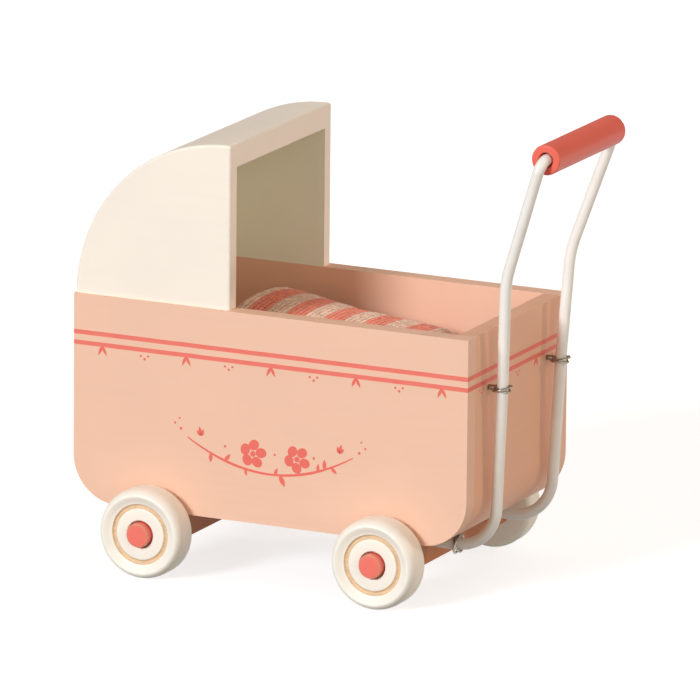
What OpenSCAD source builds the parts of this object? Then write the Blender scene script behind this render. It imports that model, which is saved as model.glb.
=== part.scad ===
// Wooden doll stroller: a rounded box body with a fixed quarter-round hood, four turned wheels
// that run on pegs, and a bent wire push handle held by screw eyes.
// +X points to the head end (hood), +Y to the left side, +Z up. The origin is on the ground,
// under the centre of the whole stroller.

/* [Body] */
// Length of the body box
body_l = 117; // [115:0.5:125]
// Width of the body box over both side panels
body_w = 63.5; // [60:0.5:70]
// Height of the side panels
body_h = 57.5; // [56:0.5:62]
// Thickness of the side panels, end walls and floor
board_t = 5; // [4.5:0.1:5.5]
// Radius of the rounded bottom corners
corner_r = 13; // [11:0.5:15]

/* [Hood] */
// Height of the hood above the rim
hood_h = 45; // [43:0.1:45.4]
// Length of the hood along the rim
hood_l = 46.1; // [45.5:0.1:46.8]
// Distance that the hood is set in from the body's sides
hood_inset = 0.8; // [0.5:0.1:1.2]
// Thickness of the hood's side cheeks
cheek_t = 4; // [3.5:0.1:4.5]
// Thickness of the hood's roof
roof_t = 6.7; // [5:0.1:7.5]

/* [Wheels] */
// Diameter of the wheels
wheel_d = 24.8; // [24:0.1:26]
// Width of the wheels
wheel_w = 8.5; // [8:0.1:10]
// Distance from the head end of the body to the front axle
front_axle = 24.6; // [22:0.1:30]
// Distance from the head end of the body to the rear axle
rear_axle = 93.7; // [91:0.1:95]
// Height of the body's underside above the axles
axle_drop = 4.7; // [4.2:0.1:4.8]
// Gap between a wheel and the body
wheel_gap = 1.3; // [0.8:0.1:1.5]
// Diameter of the pegs' heads
peg_head_d = 6.7; // [6.4:0.1:7.4]
// Length of a peg's head that stands proud of its wheel
peg_proud = 0.7; // [0.5:0.1:1.5]

/* [Handle] */
// Diameter of the handle's wire
wire_d = 3.1; // [2.8:0.1:3.2]
// Distance between the handle's two feet, centre to centre
foot_gap = 35.4; // [34.4:0.2:37]
// Distance between the tops of the two legs, centre to centre
top_gap = 48; // [47.8:0.1:49]
// Distance from the foot wall's outer face to the legs at their upper bend
leg_standoff = 5.5; // [5.3:0.1:6.5]
// Height of the grip's axis above the body's underside
grip_z = 106; // [100:1:115]
// Backward lean of the handle above its bend, in degrees
handle_lean = 18.3; // [15:0.1:21]
// Diameter of the grip
grip_d = 8.2; // [7.5:0.1:9]
// Length of the grip
grip_l = 42.6; // [42:0.1:42.8]

/* [Bedding] */
// Thickness of the mattress
mattress_t = 27; // [20:1:30]
// Height of the blanket's crown below the rim, at the hood end
blanket_below_rim = 0.8; // [0.5:0.1:5]

/* [Hidden] */
$fn = 96;
eps = 0.01;

// Colours
peach = [0.957, 0.776, 0.667];
cream = [0.99, 0.95, 0.88];
coral = [0.91, 0.40, 0.34];
steel = [0.45, 0.44, 0.42];
pine = [0.90, 0.76, 0.56];

// Heights. under_z is the body's underside and rim_z its top edge.
wheel_r = wheel_d / 2;
under_z = wheel_r + axle_drop;
rim_z = under_z + body_h;

// Handle. Its route is made of knees, given as distance behind the head end, distance from the
// centre line and height above the body's underside. The legs lean back and spread as they rise.
wire_r = wire_d / 2;
hair = 0.02;
lap = 0.2;
foot_y = foot_gap / 2;
foot_rise = -2.3;
eye_y = foot_y + 0.9;
upper_eye_rise = 42.1;
bend_y = foot_y + 2.9;
upper_bend_rise = 71.8;
low_lean = 2.75;
leg_back = body_l + leg_standoff;
eye_back = leg_back - (upper_bend_rise - upper_eye_rise) * tan(low_lean);
low_back = leg_back - (upper_bend_rise - foot_rise) * tan(low_lean);
grip_back = leg_back + (grip_z - upper_bend_rise) * tan(handle_lean);
low_bend_r = 11.5;
spread_bend_r = 60;
upper_bend_r = 30;
grip_corner_r = 3.2;

// Plan. The stroller runs from the head end of the body to the back of the grip.
overall_l = grip_back + grip_d / 2;
function at(back) = overall_l / 2 - back;
half_w = body_w / 2;
inner_half_w = half_w - board_t;

// Axle blocks
block_w = 12;
block_h = 8.5;
screw_y = 14;

// Wheels and pegs
shank_r = 2.5;
running_gap = 0.05;
wheel_in_y = half_w + wheel_gap;
wheel_out_y = wheel_in_y + wheel_w;
outer_round = 3;
inner_round = 1.5;
face_r = 9.8;
face_recess = 1;
groove_in_r = 7.1;
groove_out_r = 8.4;
groove_depth = 1.8;
head_recess_r = peg_head_d / 2 + 0.35;
head_recess = 2.5;
head_play = 0.3;
peg_depth = 8.5;

// Screw eyes
eye_wire_r = 0.55;
eye_ring_r = wire_r + eye_wire_r + 0.2;
eye_gap_angle = 30;
eye_shank_r = 0.7;
lower_eye_back_left = 108.3;
lower_eye_back_right = 102.5;

// Hood. The outline is a quarter circle and a short straight edge in front of the opening.
hood_start = 0.1;
hood_centre = hood_start + hood_h;
hood_end = hood_start + hood_l;
hood_half_w = half_w - hood_inset;

// Bedding
soft_gap = 0.4;
mattress_front = board_t + soft_gap;
mattress_back = body_l - board_t - soft_gap;
mattress_half_w = inner_half_w - soft_gap;
mattress_z = under_z + board_t + 0.1;
mattress_top = mattress_z + mattress_t;
blanket_front = 31;
blanket_back = 93.5;
blanket_half_w = inner_half_w - 0.8;
blanket_z = mattress_top + 0.3;
blanket_top = rim_z - blanket_below_rim;
blanket_foot_top = rim_z - 6.5;

// Right-hand pieces are the left-hand ones mirrored across the centre line.
module right() {
    mirror([0, 1, 0]) children();
}

// Draws a 2D outline of (distance behind the head end, height above the underside) as a board
// that lies between two values of y.
module board(y_low, y_high) {
    translate([at(0), y_high, under_z])
        rotate([90, 0, 0])
            linear_extrude(y_high - y_low)
                mirror([1, 0])
                    children();
}

// Side view of the whole box, with its two rounded bottom corners
module box_outline() {
    union() {
        translate([0, corner_r]) square([body_l, body_h - corner_r]);
        translate([corner_r, 0]) square([body_l - 2 * corner_r, corner_r + eps]);
        for (x = [corner_r, body_l - corner_r]) translate([x, corner_r]) circle(corner_r);
    }
}

module side_panel() {
    color(peach) difference() {
        board(inner_half_w, half_w) box_outline();
        dowel_pair();
    }
}

module head_wall() {
    color(peach) board(-inner_half_w, inner_half_w) intersection() {
        box_outline();
        square([board_t, body_h]);
    }
}

// The foot wall is drilled for the shanks of the two upper screw eyes.
module foot_wall() {
    color(peach) difference() {
        board(-inner_half_w, inner_half_w) intersection() {
            box_outline();
            translate([body_l - board_t, 0]) square([board_t, body_h]);
        }
        for (side = [-1, 1]) upper_eye_shank(side * eye_y);
    }
}

// The floor is drilled for the axle blocks' screws and the shanks of the two lower screw eyes. The
// right eye's ring is let into the flat underside; the left one hangs below the rounded corner.
module floor_panel() {
    color(peach) difference() {
        board(-inner_half_w, inner_half_w) intersection() {
            box_outline();
            translate([board_t, 0]) square([body_l - 2 * board_t, board_t]);
        }
        axle_block_screws();
        lower_eye_shank(lower_eye_back_left, foot_y);
        lower_eye_shank(lower_eye_back_right, -foot_y);
        lower_eye_groove(lower_eye_back_right, -foot_y);
    }
}

// Side view of the hood. inside = 0 is the outer outline; a larger value moves the curve inwards.
module hood_outline(inside) {
    intersection() {
        translate([0, body_h]) square([hood_end, hood_h]);
        union() {
            translate([hood_centre, body_h]) circle(hood_h - inside, $fn = 192);
            translate([hood_centre, body_h]) square([hood_l, hood_h - inside]);
        }
    }
}

module hood_side() {
    color(cream) difference() {
        board(hood_half_w - cheek_t, hood_half_w) hood_outline(0);
        dowel_pair();
    }
}

module hood_roof() {
    color(cream) board(cheek_t - hood_half_w, hood_half_w - cheek_t) difference() {
        hood_outline(0);
        hood_outline(roof_t);
    }
}

// Two dowels stand half in the left cheek and half in the left side panel, which are drilled for them.
module dowel_pair() {
    dowel_r = 1.25;
    dowel_l = 10;
    for (back = [12, 36])
        translate([at(back), half_w - board_t / 2, rim_z - dowel_l / 2])
            cylinder(h = dowel_l, r = dowel_r);
}

module hood_dowels() {
    color(pine) {
        dowel_pair();
        right() dowel_pair();
    }
}

module axle_block(back) {
    translate([at(back) - block_w / 2, -half_w, under_z - block_h])
        cube([block_w, body_w, block_h]);
}

module front_axle_block() {
    color(peach) difference() {
        axle_block(front_axle);
        axle_block_screws();
        peg_shanks(front_axle);
    }
}

// The rear block also has a blind socket for each foot of the handle's wire.
module rear_axle_block() {
    color(peach) difference() {
        axle_block(rear_axle);
        axle_block_screws();
        peg_shanks(rear_axle);
        for (side = [-1, 1])
            translate([at(rear_axle), side * foot_y, under_z + foot_rise])
                rotate([0, -90, 0])
                    cylinder(h = block_w, r = wire_r);
    }
}

// A countersunk wood screw that comes up through a block into the floor
module wood_screw() {
    screw_l = 12;
    screw_r = 0.9;
    head_r = 1.9;
    head_h = 1.2;
    union() {
        cylinder(h = screw_l, r = screw_r);
        cylinder(h = head_h, r1 = head_r, r2 = screw_r);
    }
}

module axle_block_screws() {
    color(steel)
        for (back = [front_axle, rear_axle])
            for (side = [-1, 1])
                translate([at(back), side * screw_y, under_z - block_h])
                    wood_screw();
}

// Half section of a wheel: x is the radius and y runs from the inner face to the outer one.
module wheel_section() {
    rim = wheel_r - outer_round;
    difference() {
        union() {
            square([rim, wheel_w]);
            translate([0, inner_round])
                square([wheel_r, wheel_w - inner_round - outer_round]);
            square([wheel_r - inner_round, wheel_w - outer_round]);
            translate([rim, wheel_w - outer_round]) circle(outer_round);
            translate([wheel_r - inner_round, inner_round]) circle(inner_round);
        }
        translate([-eps, -eps]) square([shank_r + running_gap + eps, wheel_w + 1]);
        translate([-eps, wheel_w - head_recess]) square([head_recess_r + eps, head_recess + 1]);
        translate([-eps, wheel_w - face_recess]) square([face_r + eps, face_recess + 1]);
        translate([groove_in_r, wheel_w - groove_depth])
            square([groove_out_r - groove_in_r, groove_depth + 1]);
    }
}

// A left-hand wheel, with its outer face towards +Y
module wheel(back) {
    color(cream)
        translate([at(back), wheel_in_y, wheel_r])
            rotate([-90, 0, 0])
                rotate_extrude()
                    wheel_section();
}

// The shank of a left-hand peg, from inside the block to the underside of the peg's head
module peg_shank(back) {
    start_y = half_w - peg_depth;
    end_y = wheel_out_y - head_recess + head_play;
    translate([at(back), start_y, wheel_r])
        rotate([-90, 0, 0])
            cylinder(h = end_y - start_y, r = shank_r);
}

module peg_shanks(back) {
    peg_shank(back);
    right() peg_shank(back);
}

module peg(back) {
    head_y = wheel_out_y - head_recess + head_play;
    head_l = wheel_out_y + peg_proud - head_y;
    chamfer = 0.6;
    color(coral) union() {
        peg_shank(back);
        translate([at(back), head_y, wheel_r])
            rotate([-90, 0, 0]) {
                cylinder(h = head_l - chamfer, d = peg_head_d);
                translate([0, 0, head_l - chamfer])
                    cylinder(h = chamfer, d1 = peg_head_d, d2 = peg_head_d - 2 * chamfer);
            }
    }
}

// Unit vector from a to b
function way(a, b) = (b - a) / norm(b - a);

// Turn at the knee b, in degrees
function turn(a, b, c) = acos(way(a, b) * way(b, c));

// Length that a bend of radius r takes off each side of the knee b
function trim(a, b, c, r) = r * tan(turn(a, b, c) / 2);

// Moves a shape onto the point o, with its own axes along x, y and z
module placed(x, y, z, o) {
    multmatrix([
        [x.x, y.x, z.x, o.x],
        [x.y, y.y, z.y, o.y],
        [x.z, y.z, z.z, o.z]
    ])
        children();
}

// One bend of a rod at the knee b, from the direction a-b to the direction b-c
module rod_bend(a, b, c, r, rod_r) {
    u = way(a, b);
    v = way(b, c);
    inward = (v - u * (u * v)) / norm(v - u * (u * v));
    centre = b - u * trim(a, b, c, r) + inward * r;
    placed(-inward, u, cross(-inward, u), centre)
        rotate_extrude(angle = turn(a, b, c))
            translate([r, 0])
                circle(rod_r);
}

// A round rod along a route of knees. radii[i] is the bend at knees[i], and the two ends have none.
// The straight runs are a hair thinner than the bends and reach a little way into them.
module bent_rod(knees, radii, rod_r) {
    last = len(knees) - 1;
    trims = [for (i = [0:last])
        (i == 0 || i == last) ? 0 : trim(knees[i - 1], knees[i], knees[i + 1], radii[i])];
    for (i = [0:last - 1]) {
        u = way(knees[i], knees[i + 1]);
        lap_in = (i == 0) ? 0 : lap;
        lap_out = (i == last - 1) ? 0 : lap;
        run = norm(knees[i + 1] - knees[i]) - trims[i] - trims[i + 1];
        translate(knees[i] + u * (trims[i] - lap_in))
            rotate([0, acos(u.z), atan2(u.y, u.x)])
                cylinder(h = run + lap_in + lap_out, r = rod_r - hair);
    }
    for (i = [1:last - 1])
        rod_bend(knees[i - 1], knees[i], knees[i + 1], radii[i], rod_r);
}

// The handle's knees on one side, from the socket in the rear axle block to the corner at the grip
function leg_knees(side) = [
    for (knee = [
        [rear_axle, foot_y, foot_rise],
        [low_back, foot_y, foot_rise],
        [eye_back, eye_y, upper_eye_rise],
        [leg_back, bend_y, upper_bend_rise],
        [grip_back, top_gap / 2, grip_z]
    ]) [at(knee[0]), side * knee[1], under_z + knee[2]]
];

function backwards(list) = [for (i = [len(list) - 1:-1:0]) list[i]];

module handle_wire() {
    leg_radii = [0, low_bend_r, spread_bend_r, upper_bend_r, grip_corner_r];
    color(cream)
        union()
            bent_rod(
                concat(leg_knees(1), backwards(leg_knees(-1))),
                concat(leg_radii, backwards(leg_radii)),
                wire_r
            );
}

// The grip is a tube that the wire runs through. The wire's corners stand just outside its ends.
module handle_grip() {
    bore_r = wire_r + 0.45;
    color(coral)
        translate([at(grip_back), 0, under_z + grip_z])
            rotate([90, 0, 0])
                difference() {
                    cylinder(h = grip_l, d = grip_d, center = true);
                    cylinder(h = grip_l + 1, r = bore_r, center = true);
                }
}

// An open ring around the z axis. Its gap faces -X, and its neck is at +X.
module eye_ring() {
    half_sweep = 180 - eye_gap_angle;
    rotate([0, 0, -half_sweep])
        rotate_extrude(angle = 2 * half_sweep)
            translate([eye_ring_r, 0])
                circle(eye_wire_r);
}

module upper_eye_shank(y) {
    depth = 4;
    translate([at(eye_back - eye_ring_r), y, under_z + upper_eye_rise])
        rotate([0, 90, 0])
            cylinder(h = eye_back - eye_ring_r - body_l + depth, r = eye_shank_r);
}

module upper_eye(y) {
    color(steel) union() {
        translate([at(eye_back), y, under_z + upper_eye_rise]) eye_ring();
        upper_eye_shank(y);
    }
}

module lower_eye_shank(back, y) {
    depth = 4.2;
    translate([at(back), y, under_z + foot_rise + eye_ring_r])
        cylinder(h = depth + 0.3, r = eye_shank_r);
}

// A shallow groove that the top of a lower eye's ring sits in, with a little room all round
module lower_eye_groove(back, y) {
    room = 0.1;
    translate([at(back), y, under_z + foot_rise])
        rotate([0, 90, 0])
            cylinder(h = 2 * (eye_wire_r + room), r = eye_ring_r + eye_wire_r + room, center = true);
}

// The two lower eyes sit at slightly different places along the floor.
module lower_eye(back, y) {
    color(steel) union() {
        translate([at(back), y, under_z + foot_rise])
            rotate([0, -90, 0])
                eye_ring();
        lower_eye_shank(back, y);
    }
}

module mattress() {
    round_r = 4;
    width = 2 * mattress_half_w;
    color(cream)
        translate([0, 0, mattress_z])
            linear_extrude(mattress_t)
                hull()
                    for (back = [mattress_front + round_r, mattress_back - round_r])
                        for (y = [-1, 1])
                            translate([at(back), y * (mattress_half_w - round_r)])
                                circle(round_r, $fn = 32);
}

// One cross-section slice of the blanket: flat below, crowned above, with round edges
module blanket_slice(back, half_w, top) {
    edge_r = 4;
    shoulder_drop = 4.5;
    translate([at(back), 0, 0])
        rotate([90, 0, 90])
            linear_extrude(0.5)
                hull() {
                    for (side = [-1, 1]) {
                        translate([side * (half_w - edge_r), blanket_z + edge_r])
                            circle(edge_r, $fn = 24);
                        translate([side * (half_w - edge_r), top - edge_r - shoulder_drop])
                            circle(edge_r, $fn = 24);
                        translate([side * half_w / 3, top - edge_r])
                            circle(edge_r, $fn = 24);
                    }
                }
}

// A plump pad: crowned across its width, rounded at the head end and lower at the foot end
module knitted_blanket() {
    head_round = 11;
    foot_round = 3;
    color(coral) hull() {
        blanket_slice(blanket_front + 0.5, blanket_half_w - 3, blanket_top - head_round);
        blanket_slice(blanket_front + head_round / 2, blanket_half_w, blanket_top - head_round / 4);
        blanket_slice(blanket_front + head_round, blanket_half_w, blanket_top);
        blanket_slice(blanket_back - foot_round, blanket_half_w, blanket_foot_top);
        blanket_slice(blanket_back, blanket_half_w - 2, blanket_foot_top - foot_round);
    }
}

side_panel();  // side_panel_left
right() side_panel();  // side_panel_right
head_wall();
foot_wall();
floor_panel();
hood_side();  // hood_side_left
right() hood_side();  // hood_side_right
hood_roof();
hood_dowels();
front_axle_block();
rear_axle_block();
axle_block_screws();
wheel(front_axle);  // wheel_front_left
right() wheel(front_axle);  // wheel_front_right
wheel(rear_axle);  // wheel_rear_left
right() wheel(rear_axle);  // wheel_rear_right
peg(front_axle);  // peg_front_left
right() peg(front_axle);  // peg_front_right
peg(rear_axle);  // peg_rear_left
right() peg(rear_axle);  // peg_rear_right
handle_wire();
handle_grip();
upper_eye(eye_y);  // screw_eye_upper_left
upper_eye(-eye_y);  // screw_eye_upper_right
lower_eye(lower_eye_back_left, foot_y);  // screw_eye_lower_left
lower_eye(lower_eye_back_right, -foot_y);  // screw_eye_lower_right
mattress();
knitted_blanket();
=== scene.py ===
"""Looks for a small wooden doll stroller: painted boards, turned wheels, wire handle and a knitted blanket.

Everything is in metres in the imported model's frame: +X to the head end, +Y to the left side, +Z up.
Places come from the frame's boxes; the sizes below are the fine details that the boxes don't give.
"""
import random
from math import atan2, ceil, copysign, cos, hypot, pi, radians, sin, tan

import bmesh
import bpy
from mathutils import Matrix, Vector, noise


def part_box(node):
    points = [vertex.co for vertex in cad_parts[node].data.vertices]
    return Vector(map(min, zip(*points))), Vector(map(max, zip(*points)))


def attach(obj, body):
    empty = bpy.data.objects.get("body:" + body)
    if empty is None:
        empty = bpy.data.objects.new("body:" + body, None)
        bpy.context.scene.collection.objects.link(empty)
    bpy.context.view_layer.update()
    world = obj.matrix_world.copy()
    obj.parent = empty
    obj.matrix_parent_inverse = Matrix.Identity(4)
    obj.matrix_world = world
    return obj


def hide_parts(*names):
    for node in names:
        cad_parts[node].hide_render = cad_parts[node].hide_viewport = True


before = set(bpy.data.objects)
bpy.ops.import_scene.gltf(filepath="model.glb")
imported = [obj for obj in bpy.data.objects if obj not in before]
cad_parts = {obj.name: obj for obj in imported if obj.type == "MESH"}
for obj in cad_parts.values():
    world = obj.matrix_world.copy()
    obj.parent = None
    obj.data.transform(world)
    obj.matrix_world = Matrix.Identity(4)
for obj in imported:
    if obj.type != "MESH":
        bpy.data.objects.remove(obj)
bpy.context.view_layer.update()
MM = 0.001
SAME_POINT = 0.001 * MM
SIDES = {"left": 1, "right": -1}
ENDS = ("front", "rear")

# -------- places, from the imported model
panel_lo, panel_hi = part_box("side_panel_left")
HALF_W = panel_hi.y
INNER_HALF_W = panel_lo.y
UNDER_Z = panel_lo.z
RIM_Z = panel_hi.z
HEAD_X = panel_hi.x
FOOT_X = panel_lo.x
BODY_MID_X = (HEAD_X + FOOT_X) / 2
BODY_HALF_L = (HEAD_X - FOOT_X) / 2
cheek_lo, cheek_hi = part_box("hood_side_left")
CHEEK_IN_Y = cheek_lo.y
HOOD_OPEN_X = cheek_lo.x
HOOD_R = cheek_hi.z - cheek_lo.z
HOOD_CENTRE_X = cheek_hi.x - HOOD_R
ROOF_T = 6.7 * MM
HOOD_IN_R = HOOD_R - ROOF_T


def middle(node):
    """Centre of a CAD node's box."""
    lo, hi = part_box(node)
    return (lo + hi) / 2


# -------- small mesh helpers
def rounded_path(points, radii, step):
    """A polyline in space whose corners are turned into arcs of the given radii."""
    points = [Vector(p) for p in points]
    out = [points[0]]
    for before, knee, after, radius in zip(points, points[1:], points[2:], radii):
        come = (knee - before).normalized()
        go = (after - knee).normalized()
        angle = come.angle(go)
        trim = radius * tan(angle / 2)
        start = knee - come * trim
        inward = (go - come * come.dot(go)).normalized()
        centre = start + inward * radius
        count = max(3, ceil(angle / step))
        for i in range(count + 1):
            a = angle * i / count
            out.append(centre - inward * radius * cos(a) + come * radius * sin(a))
    out.append(points[-1])
    return out


def turns(count):
    """Evenly spaced angles round a full turn."""
    return [2 * pi * i / count for i in range(count)]


def skin(bm, rings):
    """Quads between neighbouring closed rings of points."""
    for low, high in zip(rings, rings[1:]):
        for j in range(len(low)):
            k = (j + 1) % len(low)
            bm.faces.new((low[j], low[k], high[k], high[j]))


def sweep(bm, points, radius, sides):
    """A round tube with flat ends along the points. Its rings turn with the route but never twist."""
    points = [Vector(p) for p in points]
    last = len(points) - 1
    tangents = [(points[min(i + 1, last)] - points[max(i - 1, 0)]).normalized() for i in range(last + 1)]
    normal = tangents[0].orthogonal().normalized()
    previous = tangents[0]
    rings = []
    for point, tangent in zip(points, tangents):
        normal = previous.rotation_difference(tangent) @ normal
        normal = (normal - tangent * normal.dot(tangent)).normalized()
        previous = tangent
        side = tangent.cross(normal)
        rings.append([bm.verts.new(point + (normal * cos(a) + side * sin(a)) * radius)
                      for a in turns(sides)])
    skin(bm, rings)
    bm.faces.new(rings[0][::-1])
    bm.faces.new(rings[-1])


def add_object(name, data):
    thing = bpy.data.objects.new(name, data)
    bpy.context.scene.collection.objects.link(thing)
    return thing


def finish_mesh(name, bm, materials, body="pram_body", origin=None, sharp_deg=40):
    """Makes the object from bm, smooths it, gives it its materials and lets it ride on a body."""
    bmesh.ops.recalc_face_normals(bm, faces=bm.faces)
    if origin is not None:
        bmesh.ops.translate(bm, verts=bm.verts, vec=-Vector(origin))
    limit = radians(sharp_deg)
    for edge in bm.edges:
        edge.smooth = not (edge.is_manifold and edge.calc_face_angle() > limit)
    for face in bm.faces:
        face.smooth = True
    mesh = bpy.data.meshes.new(name)
    bm.to_mesh(mesh)
    bm.free()
    for material in materials if isinstance(materials, (list, tuple)) else [materials]:
        mesh.materials.append(material)
    piece = add_object(name, mesh)
    if origin is not None:
        piece.location = origin
    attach(piece, body)
    return piece


def arc(cx, cy, r, start_deg, end_deg, count=8):
    """Points of an arc in a plane, both ends included."""
    angles = [radians(start_deg + (end_deg - start_deg) * i / count) for i in range(count + 1)]
    return [(cx + r * cos(a), cy + r * sin(a)) for a in angles]


def lathe(bm, profile, steps, groove=None):
    """Turns a closed (radius, distance) outline about the Y axis. Faces in the groove get material 1."""
    rings = [[bm.verts.new((r * cos(a), t, r * sin(a))) for r, t in profile] for a in turns(steps)]
    count = len(profile)
    for i in range(steps):
        a, b = rings[i], rings[(i + 1) % steps]
        for j in range(count):
            k = (j + 1) % count
            face = bm.faces.new((a[j], b[j], b[k], a[k]))
            if groove and groove[0] <= j < groove[1]:
                face.material_index = 1


# -------- materials
class Paint:
    """Builds one material's node tree with short calls. Every texture is in object coordinates."""

    def __init__(self, name):
        self.material = bpy.data.materials.new(name)
        self.material.use_nodes = True
        self.tree = self.material.node_tree
        self.tree.nodes.clear()
        self.surface = self.tree.nodes.new("ShaderNodeBsdfPrincipled")
        output = self.tree.nodes.new("ShaderNodeOutputMaterial")
        self.tree.links.new(self.surface.outputs["BSDF"], output.inputs["Surface"])
        self.position = self.tree.nodes.new("ShaderNodeTexCoord").outputs["Object"]

    def put(self, socket, value):
        """Links a socket, or sets a constant."""
        if isinstance(value, bpy.types.NodeSocket):
            self.tree.links.new(value, socket)
        else:
            socket.default_value = value

    def finish(self, **values):
        """Sets the shader's inputs, with _ for a space in their names, and returns the material."""
        for key, value in values.items():
            self.put(self.surface.inputs[key.replace("_", " ")], value)
        return self.material

    def node(self, kind, inputs=(), **settings):
        """Adds a node. inputs are (socket, value) pairs, and settings are the node's own properties."""
        node = self.tree.nodes.new("ShaderNode" + kind)
        for key, value in settings.items():
            setattr(node, key, value)
        for key, value in inputs:
            self.put(node.inputs[key], value)
        return node

    def math(self, operation, a, b=0.0):
        return self.node("Math", ((0, a), (1, b)), operation=operation).outputs[0]

    def plus(self, a, b):
        return self.math("ADD", a, b)

    def minus(self, a, b):
        return self.math("SUBTRACT", a, b)

    def times(self, a, b):
        return self.math("MULTIPLY", a, b)

    def size(self, value):
        """A value without its sign."""
        return self.math("ABSOLUTE", value)

    def reach(self, a, b):
        """The distance of (a, b) from (0, 0)."""
        return self.math("SQRT", self.plus(self.times(a, a), self.times(b, b)))

    def smooth(self, value, low, high):
        """0 below low, 1 above high, smooth between."""
        inputs = (("Value", value), ("From Min", low), ("From Max", high))
        return self.node("MapRange", inputs, interpolation_type="SMOOTHSTEP").outputs["Result"]

    def band(self, value, centre, width, soft):
        """1 over a band of this width about centre, with soft edges."""
        away = self.size(self.minus(value, centre))
        return self.smooth(self.times(away, -1.0), -(width / 2 + soft), -(width / 2 - soft))

    def up_to(self, value, limit):
        """1 up to the limit, falling to 0 just past it."""
        return self.minus(1.0, self.smooth(value, limit + 0.05 * MM, limit + 0.15 * MM))

    def mottled(self, pattern, colour, share, low=0.3, high=0.7):
        """The colour, and a darker share of it where the pattern is low."""
        return self.mix(self.smooth(pattern, low, high), darker(colour, share), colour)

    def uneven(self, least, pattern, spread):
        """A value that rises from least with the pattern."""
        return self.plus(least, self.times(pattern, spread))

    def axis(self, index):
        return self.node("SeparateXYZ", ((0, self.position),)).outputs[index]

    def stretched(self, x, y, z):
        """Object coordinates scaled per axis."""
        return self.node("Mapping", (("Vector", self.position), ("Scale", (x, y, z)))).outputs[0]

    def noise(self, scale, detail=3.0, roughness=0.5, where=None, distortion=0.0):
        inputs = (("Vector", self.position if where is None else where), ("Scale", scale), ("Detail", detail),
                  ("Roughness", roughness), ("Distortion", distortion))
        return self.node("TexNoise", inputs).outputs[0]

    def mix(self, factor, *colours):
        """The first colour where the factor is 0 and the second where it is 1."""
        a, b = [c if isinstance(c, bpy.types.NodeSocket) else (*c, 1) for c in colours]
        return self.node("Mix", ((0, factor), (6, a), (7, b)), data_type="RGBA").outputs[2]

    def attribute(self, name):
        return self.node("Attribute", attribute_name=name).outputs["Fac"]

    def bump(self, height, depth, strength, under=None):
        """Adds relief of the given depth in metres."""
        inputs = [("Strength", strength), ("Distance", depth), ("Height", height)]
        if under is not None:
            inputs.append(("Normal", under))
        return self.node("Bump", inputs).outputs[0]


def srgb(r, g, b):
    """A display colour from 0 to 255 as linear light."""
    return tuple((c / 255 / 12.92) if c <= 10 else ((c / 255 + 0.055) / 1.055) ** 2.4 for c in (r, g, b))


def darker(colour, share):
    return tuple(c * share for c in colour)


def paler(colour, share):
    return tuple(min(1.0, c * share + 0.02) for c in colour)


PEACH = srgb(246, 199, 171)
# The end walls have the body's peach paint. This darker, more saturated copy is painted shade, as on the foot
# end's face, which is turned away from the key light.
PEACH_END_SHADED = srgb(243, 187, 154)
CREAM = srgb(255, 243, 227)
# Painted light: the hood's inside has the same cream paint, drawn yellower for the tinted light in its shade.
HOOD_INSIDE_LIGHT_TINT = srgb(250, 252, 232)
CORAL = srgb(240, 112, 97)
CORAL_PEG = srgb(247, 118, 102)
# Paler coral for the pegs' edges: partly worn paint, partly a painted highlight.
WORN_AND_HIGHLIT_PEG = srgb(222, 140, 104)
CORAL_GRIP = srgb(244, 108, 88)
WHEEL_CREAM = srgb(254, 246, 232)
# The painted lines reach LINE_SKIN in from the outer faces, so they also cover the rounded edges.
LINE_W = 1.25 * MM
LINE_SOFT = 0.08 * MM
LINE_WOBBLE = 0.22 * MM
LINE_SKIN = 1.1 * MM
LINE_HEIGHTS = (UNDER_Z + 44.0 * MM, UNDER_Z + 46.9 * MM)
LINE_FOOT = LINE_HEIGHTS[0] - LINE_W / 2


def painted_wood(name, colour, rough, grain_axis, banded=False, inside_light_tint=None):
    """Brushed paint on fine-grained wood, paler along rounded edges, partly as thin worn paint and partly as
    a painted highlight.
    """
    across_grain, along_grain, grain_depth, pore_depth = 380.0, 22.0, 0.06 * MM, 0.03 * MM
    paint = Paint(name)
    scales = [across_grain, across_grain, across_grain]
    scales[grain_axis] = along_grain
    grain = paint.noise(1.0, 4.0, 0.6, paint.stretched(*scales), 0.6)
    cloud = paint.noise(28.0, roughness=0.55)
    pores = paint.noise(1700.0, 2.0)
    edge = paint.times(paint.attribute("edge"), paint.smooth(paint.noise(420.0), 0.35, 0.75))
    base = paint.mottled(cloud, colour, 0.965)
    base = paint.mix(paint.times(paint.smooth(grain, 0.42, 0.72), 0.16), base, darker(colour, 0.9))
    if banded:
        base = outline_bands(paint, base)
    # Painted light tint on the hood's inside, which has the same cream paint.
    if inside_light_tint:
        base = painted_hood_inside_light(paint, base, inside_light_tint)
    # Paler rounded edges: partly worn paint, partly a painted highlight.
    base = paint.mix(paint.times(edge, 0.45), base, paler(colour, 1.1))
    relief = paint.bump(pores, pore_depth, 0.3, paint.bump(grain, grain_depth, 0.35))
    paint.surface.inputs["Specular IOR Level"].default_value = 0.35
    return paint.finish(Base_Color=base, Normal=relief, Roughness=paint.uneven(rough - 0.05, cloud, 0.1))


def outline_bands(paint, base):
    """Two slightly wavy painted lines round the outside of the box body, with its rounded edges."""
    wobble = paint.times(paint.minus(paint.noise(90.0, 2.0), 0.5), LINE_WOBBLE)
    height = paint.plus(paint.axis(2), wobble)
    across = paint.size(paint.axis(1))
    along = paint.size(paint.minus(paint.axis(0), BODY_MID_X))
    outside = paint.math("MAXIMUM", *[paint.smooth(place, half - LINE_SKIN, half - LINE_SKIN * 0.9)
                                     for place, half in ((across, HALF_W), (along, BODY_HALF_L))])
    lines = paint.math("MAXIMUM", *[paint.band(height, line, LINE_W, LINE_SOFT) for line in LINE_HEIGHTS])
    cover = paint.uneven(0.86, paint.noise(260.0, 2.0), 0.14)
    return paint.mix(paint.times(paint.times(lines, outside), cover), base, CORAL)


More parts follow.
